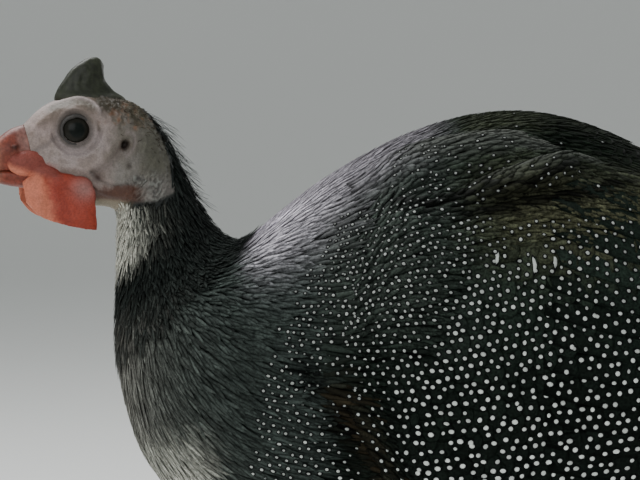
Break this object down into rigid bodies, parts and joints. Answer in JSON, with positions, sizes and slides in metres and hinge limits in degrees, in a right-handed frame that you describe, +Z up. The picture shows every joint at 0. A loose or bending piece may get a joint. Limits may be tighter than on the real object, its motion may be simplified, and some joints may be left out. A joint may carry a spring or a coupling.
{
  "type": "helmeted guinea fowl",
  "caption": "Standing helmeted guinea fowl at rest, neck drawn in, head turned slightly to its left, wings folded; still life-size figure.",
  "frame": {"origin": "on the floor plane, below the middle of the bird's bounding box; the soles lie on this plane", "axes": "+X from the bird's bill towards its tail, +Y towards its own right side, +Z up"},
  "size_m": [0.4472, 0.1538, 0.3441],
  "materials": {
    "face_skin": "matt bare skin, lilac-white, finely wrinkled",
    "casque_horn": "dark brown horn, satin, faintly rough",
    "bill_horn": "red-brown horn, satin, paler to the tip",
    "wattle_skin": "red bare skin, satin, finely wrinkled",
    "eye": "wet gloss, near black",
    "neck_plumage": "matt hair-like feathers, near black",
    "body_plumage": "matt feathers, black-grey with white round spots",
    "flight_plumage": "satin vanes, grey-brown with white spots",
    "leg_skin": "dark grey-brown scaled skin, satin",
    "claw_horn": "dark horn, satin"
  },
  "bodies": {
    "root": {"head": "face_skin", "casque": "casque_horn", "upper_bill": "bill_horn", "lower_bill": "bill_horn", "wattle_left": "wattle_skin", "wattle_right": "wattle_skin", "eye_left": "eye", "eye_right": "eye", "neck": "neck_plumage", "torso": "body_plumage", "wing_left": "flight_plumage", "wing_right": "flight_plumage", "tail": "flight_plumage", "thigh_left": "body_plumage", "thigh_right": "body_plumage", "shank_left": "leg_skin", "shank_right": "leg_skin", "foot_left": "leg_skin", "foot_right": "leg_skin", "claw_inner_left": "claw_horn", "claw_middle_left": "claw_horn", "claw_outer_left": "claw_horn", "claw_hind_left": "claw_horn", "claw_inner_right": "claw_horn", "claw_middle_right": "claw_horn", "claw_outer_right": "claw_horn", "claw_hind_right": "claw_horn"}
  },
  "joints": []
}
